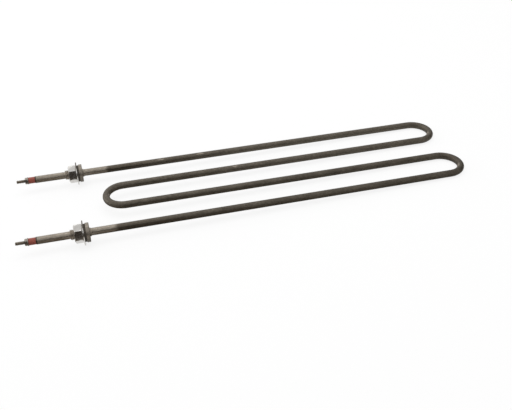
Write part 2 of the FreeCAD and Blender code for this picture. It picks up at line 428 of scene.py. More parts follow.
class NodeBench:
    """The node tree of a material or a world, with the nodes that finishes are made of."""

    # How much each finer octave of a noise weighs
    octave_weight = 0.55

    def __init__(self, holder: Union[Material, bpy.types.World]) -> None:
        """Start with an empty tree.

        Args:
            holder: the material or world that the tree belongs to.
        """
        self.holder = holder
        holder.use_nodes = True
        self.tree = holder.node_tree
        self.tree.nodes.clear()

    def add(self, kind: str, settings: dict[str, object], inputs: dict[Union[int, str], object],
            output: Union[int, str] = 0) -> Wire:
        """Add any node.

        Args:
            kind: the node's type.
            settings: its properties, set before its sockets, with a ramp's stops under "stops".
            inputs: values or links by socket name or number.
            output: the socket that is wanted.

        Returns:
            The wanted output.
        """
        node = self.tree.nodes.new(kind)
        for name, value in settings.items():
            if name != "stops":
                setattr(node, name, value)
                continue
            stops = node.color_ramp.elements
            while len(stops) < len(value):
                stops.new(1.0)
            for stop, (place, colour) in zip(stops, value):
                stop.position = place
                stop.color = (*colour, 1.0)
        for key, value in inputs.items():
            if isinstance(value, Wire):
                self.tree.links.new(value.socket, node.inputs[key])
            else:
                node.inputs[key].default_value = value
        return Wire(self, node.outputs[output])

    def math(self, operation: str, *values: Number) -> Wire:
        """Add one Math node that works on the values in their order."""
        return self.add("ShaderNodeMath", {"operation": operation}, dict(enumerate(values)))

    def place(self) -> Wire:
        """Object coordinates of the surface."""
        return self.add("ShaderNodeTexCoord", {}, {}, "Object")

    def parts(self, vector: Wire) -> tuple[Wire, Wire, Wire]:
        """Split a vector.

        Args:
            vector: the vector to split.

        Returns:
            Its X, Y and Z.
        """
        split = self.add("ShaderNodeSeparateXYZ", {}, {0: vector}).socket.node
        x, y, z = (Wire(self, socket) for socket in split.outputs)
        return x, y, z

    def noise(self, vector: Wire, scale: float, detail: float, stretch: Optional[Place] = None) -> Wire:
        """Sample soft noise from 0 to 1.

        Args:
            vector: the coordinates.
            scale: patches in one unit of the coordinates.
            detail: octaves of finer noise.
            stretch: factors of the coordinates along X, Y and Z.

        Returns:
            The noise.
        """
        if stretch:
            vector = self.add("ShaderNodeMapping", {}, {"Vector": vector, "Scale": stretch})
        return self.add("ShaderNodeTexNoise", {}, {"Vector": vector, "Scale": scale, "Detail": detail,
                                                   "Roughness": self.octave_weight})

    def mixed(self, first: Union[Wire, Colour], second: Union[Wire, Colour], share: Number,
              blend: str = "MIX") -> Wire:
        """Mix two colours.

        Args:
            first: the colour at share 0.
            second: the colour at share 1.
            share: how much of the second shows.
            blend: how the two are combined.

        Returns:
            The mixed colour.
        """
        colours = {key: value if isinstance(value, Wire) else (*value, 1.0)
                   for key, value in ((6, first), (7, second))}
        return self.add("ShaderNodeMix", {"data_type": "RGBA", "blend_type": blend, "clamp_factor": True},
                        {0: share, **colours}, 2)

    def bump(self, height: Wire, distance: float, strength: float) -> Wire:
        """Turn a height into a normal, where a height of 1 stands for the distance."""
        return self.add("ShaderNodeBump", {}, {"Height": height, "Distance": distance, "Strength": strength})

    def surface(self, inputs: dict[str, object]) -> Material:
        """End the tree in one physical surface.

        Args:
            inputs: values or links of the surface's sockets by name.

        Returns:
            The finished material.
        """
        shader = self.add("ShaderNodeBsdfPrincipled", {}, inputs)
        self.add_output("ShaderNodeOutputMaterial", shader)
        return self.holder

    def add_output(self, kind: str, shader: Wire) -> None:
        """Link a shader to a new output node."""
        node = self.tree.nodes.new(kind)
        self.tree.links.new(shader.socket, node.inputs["Surface"])


@dataclass(frozen=True)
class Finish:
    """A finish of the record, which each kind of surface makes in its own way."""

    name: str
    slot: str

    def coat(self, piece: Piece) -> None:
        """Give a piece this finish, which is made once for all the pieces that share it.

        Args:
            piece: the piece to coat.
        """
        made = bpy.data.materials.get(self.name)
        piece.data.materials.clear()
        piece.data.materials.append(made or self.build(NodeBench(bpy.data.materials.new(self.name))))

    def build(self, bench: NodeBench) -> Material:
        """Fill the empty node tree and return the finished material."""
        raise NotImplementedError


@dataclass(frozen=True)
class HeatedTube(Finish):
    """Drawn tube, bright at its cold ends and brown with oxide where it has glowed."""

    # How long each cold end is, and half the length of the tube pulled straight
    cold_run: float
    half_run: float

    # Place along, place across and half length of each pale mark: rubbed marks on the legs, painted
    # highlights in the bends
    pale_marks: tuple[Place, ...]

    bright: Colour = (0.36, 0.322, 0.268)
    stained: Colour = (0.24, 0.207, 0.168)
    oxide: Colour = (0.07, 0.059, 0.045)
    light_oxide: Colour = (0.152, 0.133, 0.107)
    burnt: Colour = (0.096, 0.08, 0.06)
    # Near black: the painted shade under the tube, and the darkening at each mouth
    near_black: Colour = (0.014, 0.011, 0.008)
    # Pale colour of the rubbed marks and of the painted highlights in the bends
    pale_mark_colour: Colour = (0.33, 0.29, 0.24)
    scorch_run: float = 150 * MM
    cold_fade: float = 3 * MM
    ragged: float = 8 * MM

    # Heights between which the painted shade of the underside fades, and how far the darkening of each mouth
    # reaches
    tube_shade_line: Point = (-2.5 * MM, 3.2 * MM)
    mouth_darkening: Point = (1.7 * MM, 1.0 * MM)

    # Half the width of a pale mark, and the heights between which it starts
    mark_half: float = 1.3 * MM
    mark_line: Point = (0.4 * MM, 1.6 * MM)

    # Patches, drawn lines, grain, mottle and slow drift: patches in a metre, octaves and stretch
    noises: tuple[tuple[float, float, Place], ...] = (
        (190, 4, (0.35, 1, 1)), (2600, 2, (0.03, 1, 1)), (1500, 3, (0.5, 1, 1)),
        (480, 2, (0.6, 1, 1)), (22, 3, (1, 0.3, 0.3)),
    )

    # How light the oxide is, from the front end of the tube to the rear end
    tones: tuple[Point, ...] = ((0.05, 0.4), (0.15, 0.42), (0.25, 0.2), (0.40, 0.48),
                                (0.61, 0.7), (0.73, 0.42), (0.86, 0.78), (0.93, 0.42))

    def build(self, bench: NodeBench) -> Material:
        """Fill the node tree.

        Args:
            bench: the empty tree.

        Returns:
            The finished material.
        """
        straight = bench.add("ShaderNodeAttribute", {"attribute_name": STRAIGHT}, {}, "Vector")
        run, side, up = bench.parts(straight)
        patches, lines, grain, mottle, drift = (bench.noise(straight, *noise) for noise in self.noises)
        stops = [(place, (light,) * 3) for place, light in self.tones]
        tone = bench.add("ShaderNodeValToRGB", {"stops": stops}, {0: run / (2 * self.half_run) + 0.5})

        edge = abs(run) + (patches - 0.5) * self.ragged
        hot_end = self.half_run - self.cold_run
        cold = edge.ease(hot_end - self.cold_fade, hot_end + self.cold_fade)
        scorch = edge.ease(hot_end - self.scorch_run, hot_end) * (1 - cold)
        # Painted shade, fading from the bottom of the tube to just above its middle
        under = 1 - up.ease(*self.tube_shade_line)
        # Darker towards each mouth of the tube
        mouth = abs(run).ease(*(self.half_run - reach for reach in self.mouth_darkening))

        stain = (patches * 1.3 - 0.25 + (lines - 0.5) * 0.9).clamped()
        bright = bench.mixed(self.bright, self.stained, stain)
        lightness = tone + (drift - 0.5) * 0.9 + (lines - 0.5) * 0.5 + (patches - 0.5) * 1.1
        toned = bench.mixed(self.oxide, self.light_oxide, lightness.clamped())
        hot = bench.mixed(toned, self.burnt, scorch * 0.5)
        colour = bench.mixed(hot, bright, cold)
        # Painted shade on the underside, strongest where the tube was scorched
        shaded_under = bench.mixed(colour, self.near_black, under * (cold * 0.25 + scorch * 0.55))
        mouths_darkened = bench.mixed(shaded_under, self.near_black, mouth * 0.8)
        marked = bench.mixed(mouths_darkened, self.pale_mark_colour, self.pale_mark_mask((run, side, up), grain))
        speck = (grain - 0.5) * 0.9 + (mottle - 0.5) * 0.9 + (lines - 0.5) * 0.4 + 1
        speckled = bench.add("ShaderNodeVectorMath", {"operation": "SCALE"}, {0: marked, "Scale": speck})
        return bench.surface({
            "Base Color": speckled,
            "Metallic": 0.84 + cold * 0.12,
            "Roughness": 0.5 - cold * 0.08 - scorch * 0.14 + (patches - 0.5) * 0.16 + (grain - 0.5) * 0.12,
            "Normal": bench.bump(lines * 0.55 + grain * 0.45, 0.012 * MM, 0.8),
        })

    def pale_mark_mask(self, straight: tuple[Wire, Wire, Wire], grain: Wire) -> Wire:
        """Show short pale marks on top of the tube: oxide rubbed off on the legs, and painted highlights
        inside the bends.

        Args:
            straight: run along the tube, way across it and height over it.
            grain: fine noise that frays the marks.

        Returns:
            1 on bare metal and on painted highlights.
        """
        run, side, up = straight
        total: Number = 0.0
        for place, offset, length in self.pale_marks:
            along = (run - place) / length
            across = (side - offset) / self.mark_half
            near = 1 - (along * along + across * across)
            total = (near + (grain - 0.5) * 2.2).ease(0.0, 1.1) + total
        return (total * up.ease(*self.mark_line) * 0.75).clamped()


@dataclass(frozen=True)
class TurnedMetal(Finish):
    """Bar steel from the lathe: fine rings round each face, dulled and stained in patches."""

    clean: Colour = (0.33, 0.295, 0.25)
    dull: Colour = (0.19, 0.165, 0.135)
    # Painted shade: colour, share and heights of the darkening towards the bottom, kept off the paler thread
    bar_shade: Colour = (0.03, 0.025, 0.019)
    bar_shade_share: float = 0.55
    bar_shade_line: Point = (-4 * MM, 5 * MM)
    metallic: float = 0.92
    roughness: float = 0.4
    leg: float = LEG[Side.REAR]
    ring_pitch: float = 0.12 * MM

    # Where a thread ends that is painted paler than the rest, as painted light against the shade in its
    # grooves; as it stands, no piece reaches this default
    thread_end: float = -1.0
    thread_fade: float = 1 * MM

    def build(self, bench: NodeBench) -> Material:
        """Fill the node tree.

        Args:
            bench: the empty tree.

        Returns:
            The finished material.
        """
        place = bench.place()
        x, y, z = bench.parts(place)
        off = abs(y) - self.leg
        radius = (off * off + z * z) ** 0.5
        turned = bench.add("ShaderNodeCombineXYZ", {}, {0: x / self.ring_pitch, 1: radius / self.ring_pitch})
        rings = bench.noise(turned, 1.0, 2)
        patches = bench.noise(place, 260, 4)
        grain = bench.noise(place, 2400, 2)
        # Painted light on the thread, against the shade in its grooves
        threaded = 1 - x.ease(self.thread_end - self.thread_fade, self.thread_end)
        # Painted shade towards the bottom of the bar
        under = (1 - z.ease(*self.bar_shade_line)) * (1 - threaded)
        colour = bench.mixed(self.clean, self.dull, (patches * 1.5 - 0.3 + (rings - 0.5) * 0.4).clamped())
        colour = bench.mixed(colour, self.bar_shade, under * self.bar_shade_share)
        return bench.surface({
            "Base Color": bench.mixed(colour, self.clean, threaded * 0.3, "ADD"),
            "Metallic": self.metallic,
            "Roughness": self.roughness + (patches - 0.5) * 0.2 + (rings - 0.5) * 0.14,
            "Normal": bench.bump(rings * 0.7 + grain * 0.3, 0.01 * MM, 0.8),
        })


@dataclass(frozen=True)
class BrightZinc(Finish):
    """Zinc plate that still mirrors, with faint clouds and darker brown far above and below the axis."""

    clear: Colour = (0.68, 0.665, 0.64)
    clouded: Colour = (0.5, 0.48, 0.45)
    brown: Colour = (0.075, 0.055, 0.042)
    roughness: float = 0.16

    # The height from which the brown shows, which as it stands no piece reaches
    brown_from: float = 1.0
    brown_fade: float = 1.6 * MM

    def build(self, bench: NodeBench) -> Material:
        """Fill the node tree.

        Args:
            bench: the empty tree.

        Returns:
            The finished material.
        """
        place = bench.place()
        height = abs(bench.parts(place)[2])
        clouds = bench.noise(place, 300, 4)
        grain = bench.noise(place, 3000, 2)
        ragged = height + (clouds - 0.5) * self.brown_fade
        toned = ragged.ease(self.brown_from, self.brown_from + self.brown_fade)
        plate = bench.mixed(self.clear, self.clouded, (clouds * 1.6 - 0.45).clamped())
        return bench.surface({
            "Base Color": bench.mixed(plate, self.brown, toned * 0.85),
            "Metallic": 1.0 - toned * 0.3,
            "Roughness": self.roughness + toned * 0.35 + (clouds - 0.5) * 0.12 + (grain - 0.5) * 0.05,
            "Normal": bench.bump(clouds * 0.8 + grain * 0.2, 0.002 * MM, 0.5),
        })


@dataclass(frozen=True)
class Grain:
    """A noise over a surface: how fine it is, and how far it moves patches, roughness and height."""

    scale: float
    detail: float
    patches: float = 0.0
    rough: float = 0.0
    height: float = 0.0
    stretch: Optional[Place] = None


@dataclass(frozen=True)
class Mottled(Finish):
    """A dull surface with patches of a second colour, and with fine specks if it has a speck colour."""

    base: Colour
    patch: Colour
    grains: tuple[Grain, ...]
    roughness: float
    share: float = 0.5
    metallic: float = 0.0
    metal_loss: float = 0.0
    sheen: float = 0.5
    relief: float = 0.05 * MM
    relief_strength: float = 0.8
    speck: Optional[Colour] = None

    def build(self, bench: NodeBench) -> Material:
        """Fill the node tree.

        Args:
            bench: the empty tree.

        Returns:
            The finished material.
        """
        place = bench.place()
        share: Number = self.share
        rough: Number = self.roughness
        height: Number = 0.0
        for grain in self.grains:
            noise = bench.noise(place, grain.scale, grain.detail, grain.stretch)
            share = (noise - 0.5) * grain.patches + share
            rough = (noise - 0.5) * grain.rough + rough
            height = noise * grain.height + height
        share = share.clamped()
        colour = bench.mixed(self.base, self.patch, share)
        if self.speck:
            specks = bench.noise(place, 1300, 2).ease(0.62, 0.72)
            colour = bench.mixed(colour, self.speck, specks * 0.6)
        return bench.surface({
            "Base Color": colour,
            "Metallic": self.metallic - share * self.metal_loss if self.metal_loss else self.metallic,
            "Roughness": rough,
            "Specular IOR Level": self.sheen,
            "Normal": bench.bump(height, self.relief, self.relief_strength),
        })


ZINC = BrightZinc("bright_zinc_plate", "bright_zinc")
BROWN_TIPPED_ZINC = BrightZinc("brown_tipped_zinc_plate", "bright_zinc", brown_from=10.6 * MM)
DULL_ZINC = BrightZinc("dull_zinc_plate", "bright_zinc", clear=(0.46, 0.43, 0.385),
                       clouded=(0.17, 0.15, 0.122), roughness=0.3)
TURNED = TurnedMetal("turned_bar", "turned_steel", thread_end=Span.of("mounting_nut_rear").start)
STUD = TurnedMetal("dull_stud", "stud_steel", clean=(0.4, 0.352, 0.292), dull=(0.21, 0.18, 0.142),
                   bar_shade_share=0.0, roughness=0.5)

# Brick red silicone, matt, with dust and dark specks
SILICONE = Mottled("red_silicone", "red_seal", base=(0.285, 0.06, 0.039), patch=(0.37, 0.11, 0.078),
                   share=0.4, grains=(Grain(420, 4, patches=1.4, rough=0.2, height=1.0),), roughness=0.55,
                   sheen=0.4, relief=0.03 * MM, relief_strength=0.7, speck=(0.08, 0.024, 0.02))

# Dark fibre sheet: short pale threads in a matt binder
FIBRE = Mottled("pressed_fibre", "gasket_fibre", base=(0.062, 0.054, 0.044), patch=(0.15, 0.132, 0.108),
                share=0.35, grains=(Grain(2200, 3, patches=1.7, height=1.0, stretch=(1.0, 0.4, 0.4)),
                                    Grain(350, 3, patches=0.4, rough=0.1)),
                roughness=0.82, sheen=0.3, relief_strength=0.9)

# Brazing metal that flowed and froze: pale brass with a grey-green bloom of flux
BRAZE = Mottled("flowed_braze", "braze", base=(0.45, 0.37, 0.25), patch=(0.28, 0.265, 0.22),
                grains=(Grain(500, 4, patches=2.0, rough=0.5, height=1.0),),
                roughness=0.425, metallic=0.95, metal_loss=0.5)

# White mineral powder, pressed hard, with a faint grey where it has been hot
POWDER = Mottled("pressed_powder", "magnesia", base=(0.74, 0.73, 0.69), patch=(0.52, 0.5, 0.46), share=0.35,
                 grains=(Grain(2500, 4, patches=0.5, rough=0.08, height=1.0), Grain(180, 3, patches=1.3)),
                 roughness=0.92, relief=0.06 * MM, relief_strength=0.9)

# Resistance wire, grey with the oxide that shields it
WIRE = Mottled("drawn_wire", "coil_wire", base=(0.36, 0.34, 0.32), patch=(0.12, 0.11, 0.105),
               grains=(Grain(700, 3, patches=1.6, rough=0.2, height=1.0),),
               roughness=0.45, metallic=0.9, relief=0.01 * MM, relief_strength=0.6)


def hand_over(piece: Piece, finish: Finish, *nodes: str) -> None:
    """Finish a piece, let it ride and let it stand for its nodes.

    Args:
        piece: the modelled piece.
        finish: what its surface is.
        nodes: the frame's nodes that it stands for.
    """
    activate(piece)
    bpy.ops.object.shade_smooth_by_angle(angle=SHARP)
    finish.coat(piece)
    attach(piece, BODY)
    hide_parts(*nodes)
    log.info("%s: %d faces, %s, stands for %s", piece.name, len(piece.data.polygons), finish.name,
             ", ".join(nodes))


def seat_on_legs(master: Piece, finish: Finish, node: str) -> None:
    """Copy a piece that was modelled about the X axis to both terminals.

    Args:
        master: the pattern that both follow, which is used up.
        finish: what its surface is.
        node: the first part of the two nodes' names.
    """
    name = master.name
    for side in Side:
        activate(master)
        bpy.ops.object.duplicate(linked=False)
        bpy.context.active_object.location.y = LEG[side]
        piece = claim("%s_%s" % (name.removesuffix("_pattern"), side.value))
        hand_over(piece, finish, "%s_%s" % (node, side.value))
    discard(master)


@dataclass
class BentSheath:
    """The long tube: four straight legs, three half loops, and a rolled lip at each end."""

    sides: int = 48
    loop_steps: int = 28
    leg_step: float = 14 * MM
    lip: float = 0.3 * MM
    cold_reach: float = 35.5 * MM
    tube: Span = Span.of("sheath")
    outer: float = LEG[Side.REAR]

    # Rubbed marks on the rear legs by their X and half length, how far off the legs' middle they lie,
    # and the painted highlights inside the bends by depth, turn towards the front and half length
    outer_scuffs: tuple[Point, ...] = ((104 * MM, 6.5 * MM), (155 * MM, 7 * MM))
    inner_scuffs: tuple[Point, ...] = ((191 * MM, 4 * MM),)
    scuff_shift: float = 1.7 * MM
    bend_highlights: Point = (2.6 * MM, 3.7 * MM)
    highlight_turn: float = math.radians(-38)
    near_highlight: float = 7 * MM
    far_highlight: float = 9 * MM

    # Centre lines and loop centres, worked out from the frame
    radius: float = field(init=False)
    inner: float = field(init=False)
    middle: float = field(init=False)
    far: float = field(init=False)
    near: float = field(init=False)

    def __post_init__(self) -> None:
        """Work out the loops from the tube's box and the skin of its near loop."""
        self.radius = self.tube.radius
        self.inner = self.outer / 3
        self.middle = (self.outer + self.inner) / 2
        self.far = self.tube.end - self.radius - self.inner
        near_skin = [vertex.co.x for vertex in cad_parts["sheath"].data.vertices
                     if abs(vertex.co.y) < self.inner]
        self.near = min(near_skin) + self.radius + self.inner

    @property
    def half_run(self) -> float:
        """Half the length of the tube's centre line."""
        loops = 1.5 * HALF_TURN * self.inner
        return loops + (self.far - self.near) + (self.far - self.tube.start)

    def straight_place(self, place: Vector) -> Vector:
        """Tell where a point would be if the tube were pulled straight.

        Args:
            place: a point on the bent tube.

        Returns:
            Its run from the middle of the near loop, its way left of the centre line, and its height.
        """
        side = 1 if place.y >= 0 else -1
        across = abs(place.y)
        quarter = HALF_TURN / 2 * self.inner
        if place.x < self.near and across < self.middle - self.inner / 2 - self.radius:
            turn = math.atan2(across, self.near - place.x)
            reach = math.hypot(across, self.near - place.x)
            return Vector((side * turn * self.inner, reach - self.inner, place.z))
        if place.x > self.far:
            turn = math.atan2(place.x - self.far, self.middle - across)
            reach = math.hypot(place.x - self.far, across - self.middle)
            run = quarter + (self.far - self.near) + turn * self.inner
            return Vector((side * run, self.inner - reach, place.z))
        if across < self.middle:
            return Vector((side * (quarter + place.x - self.near), across - self.inner, place.z))
        run = 3 * quarter + (self.far - self.near) + (self.far - place.x)
        return Vector((side * run, self.outer - across, place.z))

    def push(self, length: float) -> None:
        """Extrude the open ring along X in even steps.

        Args:
            length: how far, negative towards -X.
        """
        steps = max(1, round(abs(length) / self.leg_step))
        for _ in range(steps):
            bpy.ops.mesh.extrude_region_move(TRANSFORM_OT_translate={"value": (length / steps, 0, 0)})

    def build(self) -> Piece:
        """Model the tube from one end to the other, and mark where it would lie if it were straight.

        Returns:
            The finished tube.
        """
        bpy.ops.object.select_all(action="DESELECT")
        bpy.ops.mesh.primitive_circle_add(vertices=self.sides, radius=self.radius,
                                          location=(self.tube.start, -self.outer, 0),
                                          rotation=(0, HALF_TURN / 2, 0))
        tube = claim("bent_sheath")
        place = self.tube.start
        with editing(tube):
            for x, y, way in ((self.far, -self.middle, -1), (self.near, 0, 1), (self.far, self.middle, -1)):
                self.push(x - place)
                bpy.ops.mesh.spin(steps=self.loop_steps, angle=HALF_TURN, center=(x, y, 0), axis=(0, 0, way))
                place = x
            self.push(self.tube.start - place)
        tidy_skin(tube)
        apply_modifier(tube, "SOLIDIFY", thickness=TUBE_WALL, offset=-1, use_rim=True, use_even_offset=True)
        round_edges(tube, self.lip)
        marks = tube.data.attributes.new(STRAIGHT, "FLOAT_VECTOR", "POINT")
        for mark, vertex in zip(marks.data, tube.data.vertices):
            mark.vector = self.straight_place(vertex.co)
        return tube

    def finish(self) -> HeatedTube:
        """Fit the finish to the tube, with its cold ends as far as the given cold reach.

        Returns:
            The tube's finish.
        """
        turn = Vector((math.cos(self.highlight_turn), math.sin(self.highlight_turn)))
        highlights = [turn * (self.inner - depth) for depth in self.bend_highlights]
        marks = [(x, leg - self.scuff_shift, length)
                 for leg, pale_marks in ((self.outer, self.outer_scuffs), (self.inner, self.inner_scuffs))
                 for x, length in pale_marks]
        # Painted highlights inside the near loop and the far loops
        marks.append((self.near - self.inner + self.bend_highlights[1], 0.0, self.near_highlight))
        marks += [(self.far + highlight.x, highlight.y + middle, self.far_highlight)
                  for highlight in highlights for middle in (self.middle, -self.middle)]
        pale_marks = tuple((*self.straight_place(Vector((x, y, 0))).xy, length) for x, y, length in marks)
        return HeatedTube("heated_tube", "steel_tube", cold_run=self.cold_reach - self.tube.start,
                          half_run=self.half_run, pale_marks=pale_marks)


@dataclass
class WallFitting:
    """What holds one end of the tube in the wall: bushing, braze, gasket, wide washer and nut."""

    sides: int = 96
    bushing: Span = Span.of("bushing_rear")
    braze: Span = Span.of("braze_ring_rear")
    gasket: Span = Span.of("gasket_rear")
    washer: Span = Span.of("wall_washer_rear")
    nut: Span = Span.of("mounting_nut_rear")
    tube_radius: float = Span.of("sheath").radius
    thread: Thread = Thread(6 * MM, 1.5 * MM, 64)
    thread_chamfer: float = 0.5 * MM
    cutter_reach: float = 0.1 * MM
    bore_gap: float = 0.05 * MM
    bore_chamfer: float = 0.3 * MM
    flange_thickness: float = 4 * MM
    flange_edge: float = 0.45 * MM
    hub_wall: float = 0.6 * MM
    hub_edge: float = 0.2 * MM
    hub_fillet: float = 0.4 * MM
    relief_length: float = 1.6 * MM
    relief_slope: float = 0.5 * MM
    braze_hollow: float = 0.97
    lump_size: float = 1.6 * MM
    lump_height: float = 0.12 * MM
    gasket_bulge: float = 0.18 * MM
    gasket_edge: float = 0.12 * MM
    washer_bore: float = 6.25 * MM
    rolled_rim: float = 0.35 * MM
    crisp_rim: float = 0.08 * MM
    nut_flats: float = 19 * MM

    def make_bushing(self) -> Piece:
        """Turn the bushing and cut its thread.

        Returns:
            The bushing.
        """
        start, end, radius = self.bushing.start, self.bushing.end, self.bushing.radius
        bore = self.tube_radius + self.bore_gap
        seat = self.gasket.end
        back = seat + self.flange_thickness
        hub = bore + self.hub_wall
        relief = self.thread.root_radius - self.bore_gap
        thread_end = seat - self.relief_length
        edge, rim, fillet = self.hub_edge, self.flange_edge, self.hub_fillet
        outline = [
            (start, bore + self.bore_chamfer),
            (start + self.bore_chamfer, bore),
            (end, bore),
            *arc((end - edge, hub - edge), edge, 0, 90, 3),
            *arc((back + fillet, hub + fillet), fillet, 270, 180, 4),
            *arc((back - rim, radius - rim), rim, 0, 90, 3),
            *arc((seat + rim, radius - rim), rim, 90, 180, 3),
            (seat, relief),
            (thread_end, relief),
            (thread_end - self.relief_slope, self.thread.radius),
            (start + self.thread_chamfer, self.thread.radius),
            (start, self.thread.radius - self.thread_chamfer),
        ]
        bushing = lathe("threaded_bushing_pattern", outline, self.sides)
        carve(bushing, self.thread.groove(start - self.thread.pitch, thread_end, self.cutter_reach), Cut.AWAY)
        return bushing

    def make_braze(self) -> Piece:
        """Run the brazing metal into the corner behind the collar.

        Returns:
            The braze, hollow and lumpy.
        """
        leg = self.braze.length
        hollow = arc((self.braze.end, self.tube_radius + leg), leg * self.braze_hollow, 270, 180, 6)
        ring = lathe("braze_fillet_pattern", [(self.braze.start, self.tube_radius), *hollow], self.sides)
        with editing(ring):
            bpy.ops.mesh.subdivide(number_cuts=1)
        lumps = bpy.data.textures.new("braze_lumps", "CLOUDS")
        lumps.noise_scale = self.lump_size
        apply_modifier(ring, "DISPLACE", texture=lumps, strength=self.lump_height, mid_level=0.45,
                       texture_coords="LOCAL")
        return ring

    def make_gasket(self) -> Piece:
        """Press the fibre ring until its edge bulges.

        Returns:
            The gasket.
        """
        bulge = self.gasket_bulge
        half = self.gasket.length / 2
        radius = (half * half + bulge * bulge) / (2 * bulge)
        reach = math.degrees(math.asin(half / radius))
        middle = self.gasket.start + half
        edge = arc((middle, self.gasket.radius + bulge - radius), radius, 90 - reach, 90 + reach, 8)
        outline = [(self.gasket.start, self.washer_bore), (self.gasket.end, self.washer_bore), *edge]
        gasket = lathe("fibre_gasket_pattern", outline, self.sides)
        round_edges(gasket, self.gasket_edge, 2)
        return gasket

    def make_washer(self) -> Piece:
        """Stamp the wide washer, its rims rolled on one face and crisp on the other.

        Returns:
            The wide washer.
        """
        start, end, bore, radius = self.washer.start, self.washer.end, self.washer_bore, self.washer.radius
        rolled, crisp = self.rolled_rim, self.crisp_rim
        outline = [
            *arc((start + rolled, bore + rolled), rolled, 180, 270, 4),
            (end - crisp, bore), (end, bore + crisp), (end, radius - crisp), (end - crisp, radius),
            *arc((start + rolled, radius - rolled), rolled, 90, 180, 4),
        ]
        return lathe("wide_washer_pattern", outline, self.sides)

    def build(self) -> None:
        """Make every piece and seat it at both terminals."""
        seat_on_legs(self.make_bushing(), TURNED, "bushing")
        seat_on_legs(self.make_braze(), BRAZE, "braze_ring")
        seat_on_legs(self.make_gasket(), FIBRE, "gasket")
        seat_on_legs(self.make_washer(), BROWN_TIPPED_ZINC, "wall_washer")
        nut = HexNut(self.nut, self.nut_flats, self.thread)
        seat_on_legs(nut.build("mounting_hex_nut_pattern"), ZINC, "mounting_nut")


@dataclass
class HexNut:
    """A hexagon nut about the X axis, chamfered at both faces."""

    span: Span
    flats: float
    thread: Thread
    lean: float = math.radians(9.5)
    crown_face: float = 0.95
    crown_reach: float = 1.1
    crown_slope: float = math.tan(math.radians(30))
    sink: float = 0.3 * MM
    overrun: float = 1 * MM
    edge: float = 0.16 * MM
    play: float = 0.04 * MM
    sides: int = 96

    def build(self, name: str) -> Piece:
        """Model the nut.

        Args:
            name: the piece's name.

        Returns:
            The finished nut.
        """
        corner = self.flats / 2 / math.cos(FULL_TURN / 12)
        bpy.ops.object.select_all(action="DESELECT")
        bpy.ops.mesh.primitive_circle_add(vertices=6, radius=corner, fill_type="NGON",
                                          location=(self.span.start, 0, 0), rotation=(0, HALF_TURN / 2, 0))
        nut = claim(name)
        with editing(nut):
            bpy.ops.mesh.extrude_region_move(TRANSFORM_OT_translate={"value": (self.span.length, 0, 0)})
        first = math.atan2(nut.data.vertices[0].co.y, nut.data.vertices[0].co.z)
        nut.rotation_euler.x = first + FULL_TURN / 12 + self.lean
        activate(nut)
        bpy.ops.object.transform_apply(location=True, rotation=True, scale=True)
        tidy_skin(nut)
        carve(nut, self.crown(corner), Cut.WITHIN)
        round_edges(nut, self.edge, 2)
        carve(nut, self.drill(), Cut.AWAY)
        pitch = self.thread.pitch
        carve(nut, self.thread.tap(self.span.start - pitch, self.span.end + pitch, self.play), Cut.AWAY)
        return nut

    def crown(self, corner: float) -> Piece:
        """Turn the barrel that leaves a chamfer on every corner.

        Args:
            corner: the hexagon's corner radius.

        Returns:
            The tool.
        """
        start, end = self.span.start, self.span.end
        face = self.flats / 2 * self.crown_face
        clear = corner * self.crown_reach
        depth = (clear - face) * self.crown_slope
        outline = [(start, 0), (start, face), (start + depth, clear),
                   (end - depth, clear), (end, face), (end, 0)]
        return lathe("crown_tool", outline, self.sides, False)

    def drill(self) -> Piece:
        """Turn the drill with its two countersinks.

        Returns:
            The tool.
        """
        start, end = self.span.start, self.span.end
        bore = self.thread.bore_radius
        mouth = self.thread.radius + self.sink
        depth = mouth - bore
        before, past = start - self.overrun, end + self.overrun
        outline = [(before, 0), (before, mouth), (start, mouth), (start + depth, bore),
                   (end - depth, bore), (end, mouth), (past, mouth), (past, 0)]
        return lathe("drill_tool", outline, self.sides, False)


